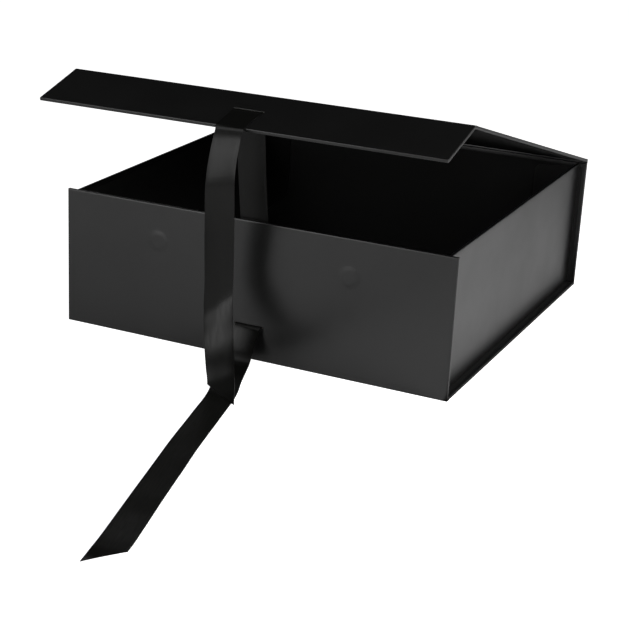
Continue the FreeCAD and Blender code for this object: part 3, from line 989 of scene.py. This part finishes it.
@dataclass
class Ribbon:
    """The changeable ribbon, from its end in front of the box through both slits to its hanging tail."""

    width: float = 22 * MM
    lift: float = 0.255 * MM
    edge_end: float = 10.3 * MM
    bend_end: float = 36 * MM
    tail_blend: float = 30 * MM
    inner_blend: float = 22 * MM
    lower_blend: float = 34 * MM
    tail_cut: float = 33 * MM
    lower_cut: float = 19 * MM
    lower_width: float = 20.5 * MM
    tail_ripple: Ripple = Ripple(40 * MM, 20 * MM, 0.5 * MM, 0.4, 0.35 * MM, 0.8, 26 * MM, 4.7)
    lower_ripple: Ripple = Ripple(30 * MM, 30 * MM, 0.1 * MM, 0.0, 0.18 * MM, 0.7, 32 * MM, 9.1)

    def build(self, case: Case) -> None:
        """Builds the seven stretches.

        Args:
            case: The case, for the flap's place.
        """
        flap = case.flap_placement()
        self.build_over_flap(flap)
        self.build_inner(flap)
        self.build_lower()

    def build_over_flap(self, flap: Matrix) -> None:
        """Builds the run from the flap's slit to its free edge and the tail that hangs from there.

        Args:
            flap: The flap's own frame in the box's frame.
        """
        out = -self.lift
        through = CASE.flap_slit
        rows = [
            (through - 0.1 * MM, CASE.panel, -11.0, 11.0),
            (through - 0.1 * MM, 0.9 * MM, -11.0, 11.0),
            (through + 0.1 * MM, out * 0.4, -11.0, 11.0),
            (through + 1.2 * MM, out * 2.2, -11.0, 11.0),
            (through + 4 * MM, out * 1.7, -11.1, 10.8),
            (through + 14 * MM, out * 1.1, -11.6, 9.7),
            (CASE.flap_depth, out, -12.0, 9.8),
        ]
        laid = [
            (flap @ Vector((left * MM, y, z)), flap @ Vector((right * MM, y, z)))
            for y, z, left, right in rows
        ]
        up = Vector((0, -0.3, 1))
        strip = RibbonStrip("ribbon_on_flap", Band(laid), up, "laid", step=0.7 * MM).build()
        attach(strip, "flap")
        hang = Band([laid[-1], *self.hanging()])
        front = Vector((0, -1, 0.4))
        first = RibbonStrip("ribbon_edge_bend", hang, front, end=self.edge_end, step=0.5 * MM)
        start, middle, end = (hang.at(along) for along in (0.0, self.edge_end, self.bend_end))
        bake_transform(first.build())
        second = RibbonStrip("ribbon_hang_bend", hang, front, start=self.edge_end, end=self.bend_end)
        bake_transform(second.build())
        third = RibbonStrip(
            "ribbon_upper_tail", hang, front, start=self.bend_end, left_cut=self.tail_cut, step=1.6 * MM,
            ripple=self.tail_ripple,
        )
        beyond = hang.at(self.bend_end + self.tail_blend)
        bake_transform(third.build())

    @staticmethod
    def hanging() -> list[Edges]:
        """Edge points of the hanging tail, in the box's frame.

        It goes over the edge and forward to a soft crease, back to a slanting one, and forward to its tip.

        Returns:
            Left and right edge points, from the flap's edge to the tip.
        """
        rows = [
            (-11.8, -188.3, 179.2, 9.9, -188.2, 179.9), (-10.9, -189.8, 178.1, 10.0, -189.6, 178.9),
            (-10.6, -191.6, 175.6, 9.9, -191.2, 176.7), (-10.7, -195.8, 166.1, 10.1, -194.6, 168.6),
            (-11.2, -198.3, 156.7, 9.5, -196.4, 160.2), (-11.3, -201.3, 141.7, 9.4, -198.3, 146.2),
            (-11.4, -201.3, 139.7, 9.3, -198.3, 144.2), (-11.9, -200.5, 137.3, 8.9, -197.4, 141.8),
            (-13.5, -197.3, 129.2, 7.5, -194.0, 133.9), (-16.3, -191.5, 113.1, 4.6, -187.3, 117.3),
            (-18.1, -187.5, 98.7, 2.5, -182.8, 103.2), (-19.1, -184.9, 84.0, 1.4, -180.1, 88.5),
            (-19.4, -183.3, 62.0, 0.7, -178.3, 70.0), (-19.2, -183.9, 47.0, 0.8, -178.5, 59.5),
            (-18.7, -184.4, 44.0, 1.1, -178.9, 56.5), (-18.3, -185.3, 41.0, 1.4, -179.8, 53.5),
            (-16.7, -187.8, 34.6, 2.9, -182.0, 47.9), (-14.3, -191.2, 26.3, 5.4, -185.8, 39.1),
            (-11.1, -195.8, 17.9, 8.4, -190.2, 29.1), (-6.1, -202.8, 9.1, 12.6, -196.6, 20.0),
            (-0.5, -210.8, 3.2, 17.3, -204.6, 12.4), (4.8, -221.0, -0.8, 23.0, -215.0, 7.5),
            (10.4, -231.6, -4.4, 28.8, -226.0, 3.9), (15.4, -241.4, -7.0, 34.0, -236.2, 1.2),
        ]
        return [(Vector(row[:3]) * MM, Vector(row[3:]) * MM) for row in rows]

    def build_inner(self, flap: Matrix) -> None:
        """Builds the run inside the front wall and the span up to the flap's slit.

        Args:
            flap: The flap's own frame in the box's frame.
        """
        face = -CASE.depth / 2
        inner = face + CASE.panel + self.lift
        rim = CASE.height + 0.6 * MM
        climb = Band.level([
            Vector((0, face, CASE.front_slit)),
            Vector((0, face + 1.6 * MM, CASE.front_slit + 0.02 * MM)),
            Vector((0, inner - 0.1 * MM, CASE.front_slit + 0.6 * MM)),
            Vector((0, inner + 0.1 * MM, CASE.front_slit + 3 * MM)),
            Vector((0, inner + 0.4 * MM, 60 * MM)),
            Vector((0, inner, rim)),
        ], self.width)
        strip = RibbonStrip(
            "ribbon_inner_run", climb, Vector((0, 1, 0.2)), "laid", "front_wall_wrap", step=1.0 * MM,
        ).build()
        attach(strip, "front_wall")
        top = flap @ Vector((0, CASE.flap_slit - 0.1 * MM, CASE.panel))
        below = flap @ Vector((0, CASE.flap_slit - 0.5 * MM, CASE.panel + 5 * MM))
        foot = Vector((0, inner, rim))
        span = Band.level([top, below, below.lerp(foot, 0.5), foot], self.width)
        strip = RibbonStrip("ribbon_inner_span", span, Vector((0, -1, 0))).build()
        span.at(self.inner_blend)
        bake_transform(strip)

    def build_lower(self) -> None:
        """Builds the lower tail: out of the front slit, down to the table and forward along it."""
        face = -CASE.depth / 2
        rows = [
            (0.0, 0.0, 26.2), (0.0, -1.6, 25.7), (-0.4, -3.4, 22.6), (-1.0, -5.4, 18.5),
            (-1.2, -8.4, 13.0), (-1.0, -12.4, 7.2), (-0.2, -17.6, 2.8), (1.6, -26.0, 1.0),
            (8.0, -47.0, 0.5), (15.2, -67.0, 0.6), (25.4, -110.4, 1.0), (36.4, -164.2, 0.5),
            (42.4, -189.1, 0.7), (48.5, -214.0, 1.3), (55.2, -239.2, 2.7), (61.9, -263.5, 4.2),
            (69.6, -288.9, 7.0), (77.1, -313.8, 10.0), (79.9, -325.2, 11.0), (81.5, -334.5, 10.8),
            (81.4, -339.7, 9.2),
        ]
        points = [Vector((x * MM, face + y * MM, z * MM)) for x, y, z in rows]
        band = Band.level(points, self.lower_width)
        strip = RibbonStrip(
            "ribbon_lower_tail", band, Vector((0, -0.2, 1)), "laid", "front_wall_wrap",
            right_cut=self.lower_cut, ripple=self.lower_ripple,
        ).build()
        band.at(0.0)
        band.at(self.lower_blend)
        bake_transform(strip)


# Studio: camera, floor and light


@dataclass(frozen=True)
class Camera:
    """The photograph's viewpoint, fitted to the edges of the case."""

    azimuth: float = 0.4749
    elevation: float = 0.3710
    roll: float = 0.0318
    place: tuple[float, float, float] = (0.50431, -1.16944, 0.44377)
    focal_pixels: float = 1669.95
    centre: tuple[float, float] = (223.4, 356.0)
    image: int = 629
    sensor: float = 36.0

    def build(self) -> None:
        """Adds the camera and makes it the scene's."""
        flat = math.cos(self.elevation)
        aside, ahead = math.sin(self.azimuth), math.cos(self.azimuth)
        back = Vector((aside * flat, -ahead * flat, math.sin(self.elevation)))
        level = Vector((ahead, aside, 0.0))
        rise = back.cross(level)
        across = level * math.cos(self.roll) + rise * math.sin(self.roll)
        up = rise * math.cos(self.roll) - level * math.sin(self.roll)
        data = bpy.data.cameras.new("camera")
        data.sensor_width = self.sensor
        data.lens = self.focal_pixels / self.image * self.sensor
        data.shift_x = (self.image / 2 - self.centre[0]) / self.image
        data.shift_y = (self.centre[1] - self.image / 2) / self.image
        data.clip_start = 0.02
        data.clip_end = 50.0
        camera = bpy.data.objects.new("camera", data)
        bpy.context.scene.collection.objects.link(camera)
        turn = Matrix((across, up, back)).transposed().to_4x4()
        camera.matrix_world = Matrix.Translation(self.place) @ turn
        bpy.context.scene.camera = camera


@dataclass(frozen=True)
class Softbox:
    """A soft lamp: a rectangle that hangs in the studio and points at the box."""

    name: str
    place: tuple[float, float, float]
    target: tuple[float, float, float]
    wide: float
    tall: float
    power: float

    def build(self) -> None:
        """Hangs the lamp."""
        data = bpy.data.lights.new(self.name, "AREA")
        data.shape = "RECTANGLE"
        data.size = self.wide
        data.size_y = self.tall
        data.energy = self.power
        lamp = bpy.data.objects.new(self.name, data)
        bpy.context.scene.collection.objects.link(lamp)
        lamp.location = self.place
        toward = Vector(self.target) - Vector(self.place)
        lamp.rotation_euler = toward.to_track_quat("-Z", "Y").to_euler()


def split_view(tree: Tree, ray: Node, rest: Node, eye: Node) -> Node:
    """Shows one shader to the eye, directly or through something clear, and another to the rest.

    Args:
        tree: The floor's or the world's node tree.
        ray: Its light path node.
        rest: What light and mirror images meet.
        eye: What the eye sees.

    Returns:
        The mix of both.
    """
    links = {0: ray.outputs["Is Camera Ray"], 1: ray.outputs["Is Transmission Ray"]}
    direct = add_node(tree, "Math", links, operation="MAXIMUM")
    return add_node(tree, "MixShader", {0: direct, 1: rest, 2: eye})


@dataclass(frozen=True)
class FloorPaint(Recipe):
    """The floor: lit paint for light and mirror images, and lifted to white for the eye.

    Mirror images alone see a painted contact shadow: a dark strip on the floor just beyond the case's right
    side, which fades outwards.
    """

    name: str = "matt_white_floor"
    albedo: float = 0.9
    glow: float = 0.9
    painted_shadow_reach: float = 13 * MM
    painted_shadow_start: float = 4 * MM
    painted_shadow_albedo: float = 0.01

    def lay(self, tree: Tree) -> Node:
        """Lays the lit paint, the painted shadow strip in its mirror images and the glow."""
        paint = add_node(tree, "BsdfDiffuse", Color=(self.albedo, self.albedo, self.albedo, 1.0))
        glow = add_node(tree, "Emission", Color=WHITE, Strength=self.glow)
        ray = add_node(tree, "LightPath")
        axes = add_node(tree, "SeparateXYZ", {"Vector": add_node(tree, "TexCoord").outputs["Object"]})
        # Painted contact shadow: a dark floor strip beside the case's right side, seen only by glossy rays,
        # fading outwards.
        side = CASE.width / 2
        gap = add_node(
            tree, "MapRange", {"Value": axes.outputs["X"]}, interpolation_type="SMOOTHSTEP",
            From_Min=side, From_Max=side + self.painted_shadow_reach, To_Min=1.0, To_Max=0.0,
        )
        inside = add_node(tree, "Math", {0: axes.outputs["X"]}, operation="GREATER_THAN")
        inside.inputs[1].default_value = side - self.painted_shadow_start
        dark = add_node(tree, "Math", {0: gap, 1: inside}, operation="MULTIPLY")
        mirrored_shadow = add_node(tree, "Math", {0: dark, 1: ray.outputs["Is Glossy Ray"]}, operation="MULTIPLY")
        shadow_paint = add_node(tree, "BsdfDiffuse", Color=(self.painted_shadow_albedo, self.painted_shadow_albedo, self.painted_shadow_albedo, 1.0))
        shaded = add_node(tree, "MixShader", {0: mirrored_shadow, 1: paint, 2: shadow_paint})
        return split_view(tree, ray, shaded, add_node(tree, "AddShader", {0: paint, 1: glow}))


@dataclass
class Studio:
    """Camera, pale floor, three soft lamps and a surround that is white to the eye."""

    floor_size: float = 12.0
    floor_drop: float = 0.02 * MM
    surround_level: float = 0.015
    ambient_level: float = 0.11
    horizon_low: float = 0.04
    horizon_high: float = 0.14

    def build(self) -> None:
        """Builds the camera, the floor, the lamps and the world."""
        Camera().build()
        self.build_floor()
        self.build_world()
        Softbox("front_strip", (-0.65, -1.45, 0.52), (0.0, -0.18, 0.08), 0.5, 1.1, 8.5).build()
        Softbox("upper_left", (-0.45, -0.3, 0.86), (0.0, -0.22, 0.0), 0.45, 0.45, 1.3).build()
        Softbox("right_softbox", (0.6, -0.27, 0.44), (0.14, -0.22, 0.0), 0.95, 0.45, 6.8).build()
        bpy.context.scene.view_settings.view_transform = "Standard"

    def build_floor(self) -> None:
        """Lays the floor."""
        deselect()
        bpy.ops.mesh.primitive_plane_add(size=self.floor_size, location=(0, 0, 0))
        floor = bpy.context.active_object
        floor.name = "floor"
        floor.location.z = -self.floor_drop
        floor.data.materials.append(FloorPaint().build())

    def build_world(self) -> None:
        """Makes the surround: white to the eye, and in mirror images white at the horizon and dark above."""
        world = bpy.data.worlds.new("studio")
        bpy.context.scene.world = world
        world.use_nodes = True
        tree = world.node_tree
        tree.nodes.clear()
        ray = add_node(tree, "LightPath")
        axes = add_node(tree, "SeparateXYZ", {"Vector": add_node(tree, "TexCoord").outputs["Generated"]})
        band = add_node(
            tree, "MapRange", {"Value": axes.outputs["Z"]}, interpolation_type="SMOOTHSTEP",
            From_Min=self.horizon_high, From_Max=self.horizon_low, To_Min=self.surround_level, To_Max=1.0,
        )
        level = add_node(
            tree, "Mix", {"Factor": ray.outputs["Is Glossy Ray"], NUMBER_B: band},
            data_type="FLOAT",
        )
        level.inputs[NUMBER_A].default_value = self.ambient_level
        dim = add_node(tree, "Background", {"Strength": level.outputs[NUMBER_MIXED]}, Color=WHITE)
        white = add_node(tree, "Background", Color=WHITE, Strength=1.0)
        add_node(tree, "OutputWorld", {"Surface": split_view(tree, ray, dim, white)})


def main() -> None:
    """Builds the studio and the box, piece by piece."""
    logging.basicConfig(level=logging.INFO, format="%(name)s %(message)s")
    Studio().build()
    case = Case()
    case.build()
    for side in ("left", "right"):
        SideWall(side).build()
    Ribbon().build(case)


if __name__ == "__main__":
    main()
